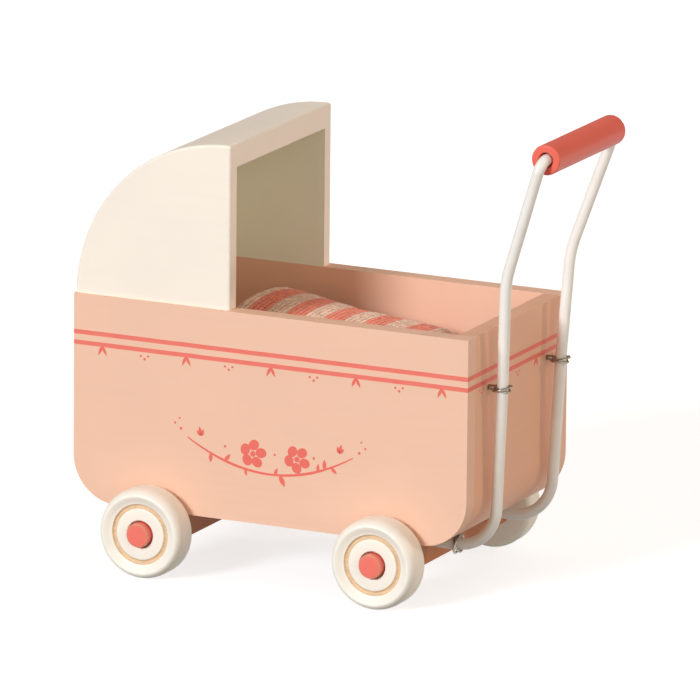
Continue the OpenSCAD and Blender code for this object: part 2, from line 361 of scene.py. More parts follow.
def painted_hood_inside_light(paint, base, colour):
    """A yellower cream on the hood's inside, painted in over the same cream paint for the tinted light in its
    shade: its cheeks' inner faces and the roof's underside.
    """
    radius = paint.reach(paint.minus(paint.axis(0), HOOD_CENTRE_X), paint.minus(paint.axis(2), RIM_Z))
    off_roof = paint.up_to(radius, HOOD_IN_R)
    off_cheek = paint.up_to(paint.size(paint.axis(1)), CHEEK_IN_Y)
    behind_lip = paint.smooth(paint.axis(0), HOOD_OPEN_X + 0.1 * MM, HOOD_OPEN_X + 0.3 * MM)
    return paint.mix(paint.times(paint.times(off_roof, off_cheek), behind_lip), base, colour)


def turned_paint(name, colour, rough, worn_and_highlit, wear_and_highlight):
    """Paint on a turned piece: faint tool rings about its own Y axis, and paler along its edges, partly worn
    and partly a painted highlight.
    """
    ring_scale, ring_depth, pore_depth = 2200.0, 0.04 * MM, 0.02 * MM
    paint = Paint(name)
    radius = paint.reach(paint.axis(0), paint.axis(2))
    place = paint.node("CombineXYZ", (
        (0, paint.times(radius, ring_scale)), (1, paint.times(paint.axis(1), ring_scale))))
    rings = paint.noise(1.0, roughness=0.6, where=place.outputs[0])
    cloud = paint.noise(120.0, roughness=0.55)
    edge = paint.times(paint.attribute("edge"), paint.smooth(paint.noise(500.0), 0.2, 0.6))
    # Paler edges: partly worn paint, partly a painted highlight.
    base = paint.mix(paint.times(edge, wear_and_highlight), paint.mottled(cloud, colour, 0.96), worn_and_highlit)
    relief = paint.bump(paint.noise(1800.0, 2.0), pore_depth, 0.25, paint.bump(rings, ring_depth, 0.3))
    return paint.finish(Base_Color=base, Normal=relief, Roughness=paint.uneven(rough - 0.04, cloud, 0.1))


def bare_wood(name, colour):
    """Unpainted end grain and grooves."""
    paint = Paint(name)
    grain = paint.noise(1.0, 5.0, 0.65, paint.stretched(300.0, 60.0, 900.0), 0.8)
    relief = paint.bump(grain, 0.05 * MM, 0.5)
    return paint.finish(Base_Color=paint.mottled(grain, colour, 0.82), Normal=relief, Roughness=0.62)


def lacquered_wire(name, colour):
    """Thick semi-gloss lacquer on steel wire, with faint runs."""
    paint = Paint(name)
    cloud = paint.noise(150.0, 2.0)
    runs = paint.bump(paint.noise(650.0, 2.0), 0.03 * MM, 0.3)
    paint.surface.inputs["Coat Weight"].default_value = 0.25
    paint.surface.inputs["Coat Roughness"].default_value = 0.2
    return paint.finish(Base_Color=paint.mottled(cloud, colour, 0.965), Normal=runs,
                        Roughness=paint.uneven(0.3, cloud, 0.12))


def dark_steel(name, colour):
    """Nickel-dark drawn wire with faint drawing lines and tarnish."""
    paint = Paint(name)
    tarnish = paint.noise(900.0, 4.0, 0.6)
    lines = paint.bump(paint.noise(2600.0, 2.0), 0.02 * MM, 0.3)
    base = paint.mix(paint.smooth(tarnish, 0.35, 0.7), colour, darker(colour, 0.6))
    rough = paint.uneven(0.24, tarnish, 0.2)
    return paint.finish(Base_Color=base, Metallic=1.0, Normal=lines, Roughness=rough)


def woven_cotton(name, colour):
    """Plain weave: two crossed thread waves over soft colour variation."""
    thread, thread_depth = 0.32 * MM, 0.08 * MM
    paint = Paint(name)
    waves = [paint.size(paint.math("SINE", paint.times(paint.axis(k), pi / thread))) for k in range(3)]
    weave = paint.times(paint.math("MAXIMUM", waves[0], waves[2]), waves[1])
    slub = paint.noise(1.0, roughness=0.6, where=paint.stretched(90.0, 1500.0, 1500.0))
    shade = paint.mottled(slub, colour, 0.92, low=0.35)
    base = paint.mix(paint.times(weave, 0.35), darker(colour, 0.9), shade)
    paint.surface.inputs["Sheen Weight"].default_value = 0.25
    paint.surface.inputs["Sheen Roughness"].default_value = 0.5
    return paint.finish(Base_Color=base, Normal=paint.bump(weave, thread_depth, 0.7), Roughness=0.92)


def knit_yarn(name, dark_yarn, pale_yarn):
    """Soft cotton yarn in two colours. The mesh says which yarn it is and how deep its tone is."""
    fluff, fluff_depth = (1.0, 0.9, 0.86), 0.12 * MM
    paint = Paint(name)
    fuzz = paint.noise(2600.0, roughness=0.65)
    colour = paint.mix(paint.smooth(paint.attribute("pale_yarn"), 0.45, 0.55), dark_yarn, pale_yarn)
    colour = paint.mix(paint.times(paint.attribute("tone"), 0.45), colour, darker(dark_yarn, 0.3))
    colour = paint.mix(paint.times(paint.smooth(fuzz, 0.5, 0.8), 0.18), colour, fluff)
    paint.surface.inputs["Sheen Weight"].default_value = 0.35
    paint.surface.inputs["Sheen Roughness"].default_value = 0.6
    return paint.finish(Base_Color=colour, Normal=paint.bump(fuzz, fluff_depth, 0.8), Roughness=0.95)


peach_paint = painted_wood("peach_paint", PEACH, 0.5, 0, banded=True)
# Painted shade: a darker copy of the peach on both end walls.
peach_end_painted_shade = painted_wood("peach_end_painted_shade", PEACH_END_SHADED, 0.5, 1, banded=True)
hood_paint = painted_wood("hood_paint", CREAM, 0.46, 0, inside_light_tint=HOOD_INSIDE_LIGHT_TINT)
# Darker, more saturated peach on the axle blocks: painted shade for their place under the body.
block_painted_shade = painted_wood("block_painted_shade", srgb(194, 118, 66), 0.55, 1)
# Wheels and pegs get paler paint along their edges: partly wear, partly a painted highlight.
wheel_paint = turned_paint("wheel_paint", WHEEL_CREAM, 0.4, paler(WHEEL_CREAM, 1.08), 0.5)
groove_wood = bare_wood("groove_wood", srgb(242, 206, 165))
dowel_wood = bare_wood("dowel_wood", srgb(226, 190, 142))
peg_paint = turned_paint("peg_paint", CORAL_PEG, 0.36, WORN_AND_HIGHLIT_PEG, 1.0)
grip_paint = painted_wood("grip_paint", CORAL_GRIP, 0.42, 1)
motif_paint = painted_wood("motif_paint", CORAL, 0.48, 0)
wire_lacquer = lacquered_wire("wire_lacquer", srgb(250, 246, 238))
eye_steel = dark_steel("eye_steel", srgb(176, 168, 152))
mattress_cotton = woven_cotton("mattress_cotton", srgb(247, 238, 222))
yarn = knit_yarn("yarn", srgb(255, 144, 114), srgb(255, 218, 192))
# Darker yarn colours for the core under the stitches: painted shade in the gaps between them.
yarn_gap_shade = knit_yarn("yarn_gap_shade", srgb(170, 70, 50), srgb(228, 142, 112))

# -------- boards, blocks and grip
SHARP_EDGE = radians(35)
# Edge radii in mm. Edges rounder than WORN_AND_HIGHLIT_FROM also get paler paint, partly worn and partly a
# painted highlight.
GLUED, ROOF_SEAM, CHEEK_SEAM, RIM_GAP = 0.08, 0.03, 0.1, 0.45
PANEL_ROUND, CHEEK_ROUND, WALL_ROUND, SMALL_ROUND = 0.85, 0.75, 0.6, 0.5
WORN_AND_HIGHLIT_FROM = 0.25


def sharp_edges(bm):
    return [e for e in bm.edges if e.is_manifold and e.calc_face_angle() > SHARP_EDGE]


def softened(name, node, material, radius_at):
    """A copy of a CAD node with rounded edges. radius_at(point) is the radius in mm at an edge's middle."""
    def radius_of(edge):
        return radius_at((edge.verts[0].co + edge.verts[1].co) / 2)

    bm = bmesh.new()
    bm.from_mesh(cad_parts[node].data)
    bmesh.ops.remove_doubles(bm, verts=bm.verts, dist=SAME_POINT)
    bmesh.ops.dissolve_limit(bm, angle_limit=radians(0.4), verts=bm.verts, edges=bm.edges)
    wear_and_highlight = bm.faces.layers.float.new("edge")
    for radius in sorted({radius_of(e) for e in sharp_edges(bm)}, reverse=True):
        edges = [e for e in sharp_edges(bm) if radius_of(e) == radius]
        made = bmesh.ops.bevel(bm, geom=edges, offset=radius * MM, offset_type="OFFSET", segments=4,
                               profile=0.5, affect="EDGES", clamp_overlap=True)
        # The faces of these rounded edges get paler paint: wear and a painted highlight.
        for face in made["faces"]:
            face[wear_and_highlight] = float(radius > WORN_AND_HIGHLIT_FROM)
    piece = finish_mesh(name, bm, material, sharp_deg=50)
    weighted = piece.modifiers.new("flat_faces", "WEIGHTED_NORMAL")
    weighted.keep_sharp = True
    weighted.weight = 80
    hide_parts(node)


def near(value, target, tolerance=0.3 * MM):
    return abs(value - target) < tolerance


def at_rim(p):
    return near(p.z, RIM_Z, 0.2 * MM)


def panel_edge(p):
    """Side panels: glued to the walls and the floor inside, rounded everywhere else."""
    return GLUED if near(abs(p.y), INNER_HALF_W) and p.z < RIM_Z - 1 * MM else PANEL_ROUND


def wall_edge(p):
    """End walls: glued to the side panels and, along their foot, to the floor."""
    return GLUED if near(abs(p.y), INNER_HALF_W) or p.z < UNDER_Z + 6 * MM else WALL_ROUND


def cheek_edge(p):
    """Cheeks: a small gap line above the rim, and no visible seam towards the roof."""
    if at_rim(p):
        return RIM_GAP
    return CHEEK_SEAM if near(abs(p.y), CHEEK_IN_Y) else CHEEK_ROUND


def roof_edge(p):
    return ROOF_SEAM if near(abs(p.y), CHEEK_IN_Y) or at_rim(p) else SMALL_ROUND


def block_edge(p):
    return GLUED if near(p.z, UNDER_Z, 0.4 * MM) else SMALL_ROUND


def make_boards():
    """The box body's five boards, the hood, the axle blocks and the grip."""
    for side in SIDES:
        softened(f"panel_{side}", f"side_panel_{side}", peach_paint, panel_edge)
        softened(f"cheek_{side}", f"hood_side_{side}", hood_paint, cheek_edge)
    for end in ("head", "foot"):
        softened(f"wall_{end}", f"{end}_wall", peach_end_painted_shade, wall_edge)
    softened("floor_board", "floor_panel", peach_paint, lambda p: GLUED)
    softened("roof", "hood_roof", hood_paint, roof_edge)
    for end in ENDS:
        softened(f"block_{end}", f"{end}_axle_block", block_painted_shade, block_edge)
    softened("grip", "handle_grip", grip_paint, lambda p: SMALL_ROUND)


make_boards()
for hidden, material in (("hood_dowels", dowel_wood), ("axle_block_screws", eye_steel)):
    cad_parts[hidden].data.materials.clear()
    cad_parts[hidden].data.materials.append(material)


# -------- wheels and pegs
FACE_SUNK = 1.0 * MM
WORN_AND_HIGHLIT_AREA = 0.12 * MM * MM


def wheel_profile(lo, hi):
    """Half section of a wheel, as (radius, distance from its inner face), and its groove's face range.

    The tyre bulges past the sunk face, and the bare groove's walls slope.
    """
    radius, width = (hi.x - lo.x) / 2, hi.y - lo.y
    bore, recess, hub, rim, crest = 2.55 * MM, 3.85 * MM, 7.1 * MM, 8.4 * MM, 10.6 * MM
    face = width - FACE_SUNK
    groove_floor, recess_floor, foot = face - 0.7 * MM, face - 2.0 * MM, 0.15 * MM
    chamfer, lip, inner, hub_r = 0.3 * MM, 0.2 * MM, 1.5 * MM, 0.4 * MM
    bulge_r, bulge_w, dish_w, dish_steps = radius - crest, 3.4 * MM, 2.1 * MM, 8
    outline = [(bore, chamfer), (bore + chamfer, 0.0)]
    outline += arc(radius - inner, inner, inner, -90, 0)
    outline += [(crest + bulge_r * r, width - bulge_w + bulge_w * t) for r, t in arc(0, 0, 1, 0, 90, 14)]
    for k in range(1, dish_steps + 1):
        drop = 0.5 * k / dish_steps + 0.25 * (1 - cos(pi * k / dish_steps))
        outline.append((crest - dish_w * k / dish_steps, width - FACE_SUNK * drop))
    outline += arc(rim + foot, face - lip, lip, 90, 150, 3)
    start = len(outline) - 1
    outline += [(rim - lip, groove_floor + foot), (rim - 2 * lip, groove_floor),
                (hub + 2 * lip, groove_floor), (hub + lip, groove_floor + foot)]
    end = len(outline)
    outline += arc(hub - hub_r, face - hub_r, hub_r, 15, 90, 5)
    outline += arc(recess + lip, face - lip, lip, 90, 180, 4)
    outline += [(recess, recess_floor), (bore, recess_floor)]
    return outline, (start, end)


def peg_profile(lo, hi):
    """Half section of a peg, as (radius, distance from its inner end), with a nearly flat head."""
    head_r, length = (hi.z - lo.z) / 2, hi.y - lo.y
    shank_r, head_w, edge_r = 2.5 * MM, 3.0 * MM, 0.5 * MM
    chamfer, lip, axis_r, rise = 0.3 * MM, 0.2 * MM, 0.0001 * MM, 0.01 * MM
    under_head = length - head_w
    return [(axis_r, 0.0), (shank_r - chamfer, 0.0), (shank_r, chamfer), (shank_r, under_head),
            (head_r - lip, under_head), (head_r, under_head + lip), (head_r, length - edge_r),
            (head_r - edge_r * 0.3, length - edge_r * 0.2), (head_r - edge_r, length - 2 * rise),
            (head_r * 0.5, length - rise), (axis_r, length)]


def corner_nodes(kind):
    return [f"{kind}_{end}_{side}" for end in ENDS for side in SIDES]


def seat(node, bm, materials, body="pram_body"):
    """Moves a turned piece to its CAD node's inner end, mirrored on the right side, and finishes it."""
    lo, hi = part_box(node)
    is_left = node.endswith("left")
    if not is_left:
        bmesh.ops.scale(bm, vec=(1, -1, 1), verts=bm.verts)
    start = Vector((middle(node).x, lo.y if is_left else hi.y, middle(node).z))
    bmesh.ops.translate(bm, verts=bm.verts, vec=start)
    piece = finish_mesh(f"turned_{node}", bm, materials, body, start)
    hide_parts(node)


def make_wheels():
    """The four wheels. Their small faces, along the edges, get paler paint, partly worn and partly a painted
    highlight.
    """
    for node in corner_nodes("wheel"):
        outline, groove = wheel_profile(*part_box(node))
        bm = bmesh.new()
        wear_and_highlight = bm.faces.layers.float.new("edge")
        lathe(bm, outline, 128, groove)
        for face in bm.faces:
            face[wear_and_highlight] = float(face.calc_area() < WORN_AND_HIGHLIT_AREA)
        seat(node, bm, [wheel_paint, groove_wood], node)


def make_pegs():
    """The four pegs. Their sloping faces get the paler coral, partly worn and partly a painted highlight."""
    for node in corner_nodes("peg"):
        bm = bmesh.new()
        wear_and_highlight = bm.faces.layers.float.new("edge")
        lathe(bm, peg_profile(*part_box(node)), 64)
        bm.normal_update()
        for face in bm.faces:
            face[wear_and_highlight] = float(0.15 < abs(face.normal.y) < 0.985)
        bmesh.ops.remove_doubles(bm, verts=bm.verts, dist=SAME_POINT)
        seat(node, bm, peg_paint)


make_wheels()
make_pegs()


# -------- handle and screw eyes
WIRE_R = 1.55 * MM
LOW_LEAN = tan(radians(2.75))
grip_mid = middle("handle_grip")
foot_y = middle("screw_eye_lower_left").y
foot_z = UNDER_Z - 2.3 * MM
eye_y = middle("screw_eye_upper_left").y
eye_z = middle("screw_eye_upper_left").z
bend_x, bend_y, bend_z = FOOT_X - 5.5 * MM, foot_y + 2.9 * MM, UNDER_Z + 71.8 * MM
eye_x = bend_x + (bend_z - eye_z) * LOW_LEAN
low_x = bend_x + (bend_z - foot_z) * LOW_LEAN
top_y = 24 * MM
socket_x = middle("rear_axle_block").x


def make_handle():
    """The wire runs from a socket in the rear block up one leg, through the grip and down the other."""
    knees = (((low_x, foot_y, foot_z), 11.5 * MM), ((eye_x, eye_y, eye_z), 60 * MM),
             ((bend_x, bend_y, bend_z), 30 * MM), ((grip_mid.x, top_y, grip_mid.z), 3.2 * MM))
    left = [(socket_x, foot_y, foot_z)] + [place for place, radius in knees]
    right = [(x, -y, z) for x, y, z in reversed(left)]
    radii = [radius for place, radius in knees]
    bm = bmesh.new()
    sweep(bm, rounded_path(left + right, radii + radii[::-1], radians(5)), WIRE_R, sides=32)
    piece = finish_mesh("bent_wire", bm, wire_lacquer)
    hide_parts("handle_wire")


def eye_route(centre, out, up, loop_r, reach):
    """Two strands leave the wood side by side and go once each round the wire, crossing as they go."""
    side = up.cross(out)
    tilt, strand_gap, second_wider, start_deg, steps = 0.7 * MM, 0.3 * MM, 0.5 * MM, 16, 24
    route = [centre + out * reach + up * strand_gap]
    for r, sign in ((loop_r, 1), (loop_r + second_wider, -1)):
        for i in range(steps + 1):
            a = radians(start_deg + (360 - 2 * start_deg) * i / steps)
            round_wire = (out * cos(a) + side * sin(a)) * r
            route.append(centre + round_wire + up * tilt * sign * cos(a))
    route.append(centre + out * reach - up * strand_gap)
    return route


def make_eyes():
    """Upper eyes reach forward into the end wall, and lower ones up into the floor."""
    wire_r, loop_r, upper_reach, lower_reach = 0.33 * MM, 1.96 * MM, 6.5 * MM, 5 * MM
    forward, upward = Vector((1, 0, 0)), Vector((0, 0, 1))
    for side, sign in SIDES.items():
        lower_x = middle(f"screw_eye_lower_{side}").x
        eyes = (("upper", Vector((eye_x, sign * eye_y, eye_z)), forward, upward, upper_reach),
                ("lower", Vector((lower_x, sign * foot_y, foot_z)), upward, forward, lower_reach))
        for level, centre, out, wire_way, reach in eyes:
            node = f"screw_eye_{level}_{side}"
            bm = bmesh.new()
            sweep(bm, eye_route(centre, out, wire_way, loop_r, reach), wire_r, sides=12)
            piece = finish_mesh(f"bent_{node}", bm, eye_steel)
            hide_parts(node)


make_handle()
make_eyes()


# -------- painted garland
PAINT_LIFT = 0.05 * MM
PAINT_ROOT = 0.03 * MM
VINE_HALF = 24.5 * MM
VINE_SAG = 7.4 * MM
VINE_WIDTHS = (0.35 * MM, 0.75 * MM, 0.6 * MM, 0.75 * MM, 0.3 * MM)
# In mm from the garland's middle: flowers (along, size, turn), buds (along, lean) and dots (along, up,
# radius). Leaves are (place on the vine from -1 to 1, side of it, length).
FLOWERS = ((-5.1, 4.0, 0.2), (8.0, 3.9, 0.9))
BUDS = ((-20.5, 0.25), (20.5, -0.25))
DOTS = ((-26.6, 2.2, 0.42), (-28.4, 3.6, 0.34), (-27.0, 5.0, 0.3), (26.4, 1.6, 0.4), (28.2, 3.0, 0.32),
        (27.0, 4.6, 0.28), (-13.4, -1.2, 0.36), (13.0, -1.4, 0.36), (1.4, -1.8, 0.34))
LEAVES = ((-0.72, -1, 2.6), (-0.3, -1, 2.0), (0.12, -1, 3.4), (0.58, 1, 2.2), (0.74, -1, 2.4),
          (-0.55, 1, 2.6), (0.66, 1, 2.8), (0.06, 1, 2.2))


def flat_shape(bm, outline, plane, lift):
    """A thin raised patch of paint. outline is (u, v) in metres and plane maps it to space."""
    under = [bm.verts.new(plane(u, v, -PAINT_ROOT)) for u, v in outline]
    over = [bm.verts.new(plane(u, v, lift)) for u, v in outline]
    bm.faces.new(under[::-1])
    bm.faces.new(over)
    skin(bm, [under, over])


def stroke(bm, points, widths, plane, lift):
    """A brush stroke with round ends along (u, v) points, whose width is interpolated from widths."""
    count = len(points)
    left, right = [], []
    for i, (u, v) in enumerate(points):
        a = points[max(i - 1, 0)]
        b = points[min(i + 1, count - 1)]
        du, dv = b[0] - a[0], b[1] - a[1]
        size = hypot(du, dv)
        place = i / (count - 1) * (len(widths) - 1)
        low = min(int(place), len(widths) - 2)
        half = (widths[low] + (widths[low + 1] - widths[low]) * (place - low)) / 2
        nu, nv = -dv / size * half, du / size * half
        left.append((u + nu, v + nv))
        right.append((u - nu, v - nv))
    flat_shape(bm, left + right[::-1], plane, lift)
    for (u, v), width in ((points[0], widths[0]), (points[-1], widths[-1])):
        flat_shape(bm, arc(u, v, width / 2, 0, 360, 16)[:-1], plane, lift * 0.9)


def turned_outline(u, v, angle, points):
    """The points turned by the angle and moved to (u, v)."""
    c, s = cos(angle), sin(angle)
    return [(u + x * c - y * s, v + x * s + y * c) for x, y in points]


def blob(bm, u, v, radius, plane, lift, lumps=0, depth=0.0, turn=0.0):
    """A round or lumpy spot of paint."""
    points = []
    for a in turns(40):
        r = radius * (1 + depth * cos(lumps * a + turn))
        points.append((r * cos(a), r * sin(a)))
    flat_shape(bm, turned_outline(u, v, turn, points), plane, lift)


def leaf(bm, u, v, length, width, angle, plane, lift):
    """A pointed leaf that starts at (u, v)."""
    steps = 12
    places = [i / steps for i in range(steps + 1)]
    upper = [(length * t, width / 2 * sin(pi * t ** 0.8)) for t in places]
    lower = [(x, -y) for x, y in upper[-2:0:-1]]
    flat_shape(bm, turned_outline(u, v, angle, upper + lower), plane, lift)


def vine_height(t):
    """Height of the garland's vine over its ends' chord, for t from -1 to 1."""
    return -VINE_SAG * (1 - t * t)


def make_garland(side, sign):
    """Two open flowers over a shallow vine with leaves, buds and dots, on one side panel."""
    middle_x = HEAD_X - 59 * MM
    base_z = UNDER_Z + 21.5 * MM

    def plane(u, v, out):
        return Vector((middle_x - sign * u, sign * (HALF_W + out), base_z + v))

    bm = bmesh.new()
    vine = [(VINE_HALF * t, vine_height(t)) for t in (i / 24 - 1 for i in range(49))]
    stroke(bm, vine, VINE_WIDTHS, plane, PAINT_LIFT)
    for u, size, turn in FLOWERS:
        make_flower(bm, u * MM, -2.3 * MM, size * MM, turn, plane)
    for t, side_of, length in LEAVES:
        slope = atan2(vine_height(t + 0.01) - vine_height(t - 0.01), 0.02 * VINE_HALF)
        angle = slope + side_of * radians(68)
        leaf(bm, VINE_HALF * t, vine_height(t), length * MM, length * 0.42 * MM, angle, plane,
             PAINT_LIFT * 1.05)
    for u, v, r in DOTS:
        blob(bm, u * MM, v * MM, r * MM, plane, PAINT_LIFT)
    for u, lean in BUDS:
        make_bud(bm, u * MM, 0.8 * MM, lean, plane)
    hang_motifs(bm, plane, LINE_FOOT - base_z, count=9, pitch=12.6, dots_on=1, dot_r=0.32,
                leaf_l=2.9, leaf_w=0.85)
    finish_mesh(f"garland_{side}", bm, motif_paint)


def make_flower(bm, u, v, size, turn, plane):
    """Five round petals about a ring and a dot, with thin gaps between them."""
    petal_at, petal_r, heart_r = 0.62 * size, 0.37 * size, 0.2 * size
    for i in range(5):
        a = turn + 2 * pi * i / 5
        blob(bm, u + petal_at * cos(a), v + petal_at * sin(a), petal_r, plane,
             PAINT_LIFT * (1 + 0.04 * i), 2, 0.08, a)
    blob(bm, u, v, heart_r, plane, PAINT_LIFT * 1.3)


def make_bud(bm, u, v, lean, plane):
    """A small tulip-like bud of three leaves."""
    for spread, length in ((-0.55, 2.0), (0.0, 2.7), (0.55, 2.0)):
        angle = pi / 2 + lean + spread
        leaf(bm, u, v, length * MM, 1.0 * MM, angle, plane, PAINT_LIFT * (1 + abs(spread) * 0.1))


def hang_motifs(bm, plane, line_v, count, pitch, dots_on, dot_r, leaf_l, leaf_w):
    """Sprigs and groups of three dots hang from the lower line by turns. Their sizes are in mm."""
    for i in range(count):
        u = (i - (count - 1) / 2) * pitch * MM
        if i % 2 == dots_on:
            for du, dv, wider in ((-1.0, -1.1, 0.0), (0.15, -1.9, 0.04), (1.2, -1.0, 0.0)):
                blob(bm, u + du * MM, line_v + dv * MM, (dot_r + wider) * MM, plane, PAINT_LIFT)
        else:
            for degrees, lift in ((-115, PAINT_LIFT), (-62, PAINT_LIFT * 1.05)):
                leaf(bm, u, line_v + 0.25 * MM, leaf_l * MM, leaf_w * MM, radians(degrees), plane, lift)


def make_end_drops(end, x, sign):
    """The same hanging motifs on an end wall, a little smaller and closer together."""
    def plane(u, v, out):
        return Vector((x + sign * out, u, v))

    bm = bmesh.new()
    hang_motifs(bm, plane, LINE_FOOT, count=5, pitch=11.5, dots_on=0, dot_r=0.3, leaf_l=2.6, leaf_w=0.8)
    finish_mesh(f"drops_{end}", bm, motif_paint)


for garland_side, garland_sign in SIDES.items():
    make_garland(garland_side, garland_sign)
make_end_drops("foot", FOOT_X, -1)
make_end_drops("head", HEAD_X, 1)


# -------- bedding
def puffed(bm, cap, lo, hi, held_z, pressure):
    """Blows a closed shell up with a cloth simulation at ten times its size, then moves its points.

    Points up to the height held_z stay put. No point moves further than cap or leaves the box from
    lo to hi.
    """
    grow, frames = 10.0, 20
    bmesh.ops.recalc_face_normals(bm, faces=bm.faces[:])
    bm.verts.ensure_lookup_table()
    mesh = bpy.data.meshes.new("puff")
    bm.to_mesh(mesh)
    for vert in mesh.vertices:
        vert.co *= grow
    shell = add_object("puff", mesh)
    scene = bpy.context.scene
    held = [k for k, vert in enumerate(bm.verts) if vert.co.z <= held_z]
    shell.vertex_groups.new(name="held").add(held, 1.0, "REPLACE")
    cloth = shell.modifiers.new("cloth", "CLOTH").settings
    cloth.vertex_group_mass = "held"
    cloth.use_pressure = True
    cloth.uniform_pressure_force = pressure
    cloth.effector_weights.gravity = 0
    cloth.quality = 5
    for step in range(1, frames + 1):
        scene.frame_set(step)
    blown = shell.evaluated_get(bpy.context.evaluated_depsgraph_get()).data
    for vert, moved in zip(bm.verts, blown.vertices):
        shift = moved.co / grow - vert.co
        if shift.length > cap:
            shift *= cap / shift.length
        place = vert.co + shift
        vert.co = [min(max(place[k], lo[k]), hi[k]) for k in range(3)]
    scene.frame_set(1)
    bpy.data.objects.remove(shell)
    bpy.data.meshes.remove(mesh)


def loaf_line(length, height, end_r, count):
    """Evenly spaced (place, rise) pairs over a loaf: up one end, along the top and down the other end."""
    quarter = [(end_r * (1 - cos(a)), sin(a)) for a in (pi / 2 * i / 24 for i in range(25))]
    fine = quarter + [(length - x, rise) for x, rise in reversed(quarter)]
    reach = [0.0]
    for (x0, r0), (x1, r1) in zip(fine, fine[1:]):
        reach.append(reach[-1] + hypot(x1 - x0, (r1 - r0) * height))
    line = []
    k = 0
    for i in range(count + 1):
        want = reach[-1] * i / count
        while k < len(fine) - 2 and reach[k + 1] < want:
            k += 1
        t = (want - reach[k]) / (reach[k + 1] - reach[k])
        line.append(tuple(a + (b - a) * t for a, b in zip(fine[k], fine[k + 1])))
    return line


STITCH_L = 1.25 * MM
STITCH_W = 1.5 * MM
STRIPE_ROWS = 4
STRIPE_SHIFT = 2


def blanket_surface(lo, hi):
    """The blanket's skin as a grid of points, from the head end's foot over the top to the foot end's."""
    length, width, height = hi.x - lo.x, hi.y - lo.y, hi.z - lo.z
    rows = loaf_line(length, height * 0.8, 5.5 * MM, 44)
    columns = loaf_line(width, height * 0.62, 4.5 * MM, 34)
    top_gap, fall, hollow, side_drop, lumps = 0.3 * MM, 0.24, 0.0019, 5.0 * MM, 0.45 * MM
    dip, dip_l = 0.5 * MM, 8 * MM
    row_pull, column_pull = 0.1, 0.07
    grid = []
    for x, rise_x in rows:
        u = 2 * x / length - 1
        line = []
        for y, rise_y in columns:
            v = 2 * y / width - 1
            crown = hi.z - top_gap - fall * x + hollow * x * x / MM - side_drop * abs(v) ** 2.2
            crown += lumps * noise.noise(Vector((u * 1.6, v * 2.2, 0.3)))
            head_dip = dip * max(0.0, 1 - x / dip_l) ** 2
            line.append(Vector(((lo.x + hi.x) / 2 - length / 2 * u * (1 - row_pull * abs(v) ** 4),
                                (lo.y + hi.y) / 2 + width / 2 * v * (1 - column_pull * abs(u) ** 4),
                                lo.z + (crown - head_dip - lo.z) * rise_x * rise_y)))
        grid.append(line)
    return grid


def closed_grid(grid):
    """A bmesh of the grid of points, closed below by a second sheet between its outer points."""
    bm = bmesh.new()
    last_i, last_j = len(grid) - 1, len(grid[0]) - 1
    low_z = grid[0][0].z
    top = [[bm.verts.new(point) for point in line] for line in grid]
    under = [[vert if i in (0, last_i) or j in (0, last_j) else bm.verts.new((vert.co.x, vert.co.y, low_z))
              for j, vert in enumerate(line)] for i, line in enumerate(top)]
    row = bm.faces.layers.int.new("row")
    outer = {(0, 0): 0, (last_i - 1, 0): 1, (last_i - 1, last_j - 1): 2, (0, last_j - 1): 3}
    for i in range(last_i):
        for j in range(last_j):
            for sheet in (top, under):
                quad = [sheet[i][j], sheet[i + 1][j], sheet[i + 1][j + 1], sheet[i][j + 1]]
                faces = [bm.faces.new(quad)]
                if (i, j) in outer:
                    k = outer[i, j]
                    faces += bmesh.utils.face_split(faces[0], quad[k], quad[k - 2])[:1]
                for face in faces:
                    face[row] = i
    return bm, top


def is_pale(row):
    return (row + STRIPE_SHIFT) // STRIPE_ROWS % 2 == 0


def knit_rows(grid):
    """How many rows of stitches cover the skin's length."""
    mid_j = len(grid[0]) // 2
    return round(sum((a[mid_j] - b[mid_j]).length for a, b in zip(grid, grid[1:])) / STITCH_L)


def between(grid, a, b):
    """A point of the skin at fractional grid place (a, b)."""
    i, j = min(int(a), len(grid) - 2), min(int(b), len(grid[0]) - 2)
    low = grid[i][j].lerp(grid[i][j + 1], b - j)
    high = grid[i + 1][j].lerp(grid[i + 1][j + 1], b - j)
    return low.lerp(high, a - i)


def yarn_leg(centre, along, across, out, thick):
    """One leg of a stitch: a plump pointed strand. Returns its points and its faces' corners."""
    sides, tip, waist, sink = 5, 0.62, 0.26, 0.4
    points = [centre - along * tip - out * thick * sink]
    for place in (-waist, waist):
        for a in turns(sides):
            points.append(centre + along * place + (across * cos(a) + out * sin(a)) * thick)
    points.append(centre + along * tip - out * thick * sink)
    faces = []
    for k in range(sides):
        n = (k + 1) % sides
        faces.append((0, 1 + n, 1 + k))
        faces.append((1 + k, 1 + n, 1 + sides + n, 1 + sides + k))
        faces.append((1 + sides + k, 1 + sides + n, 1 + 2 * sides))
    return points, faces


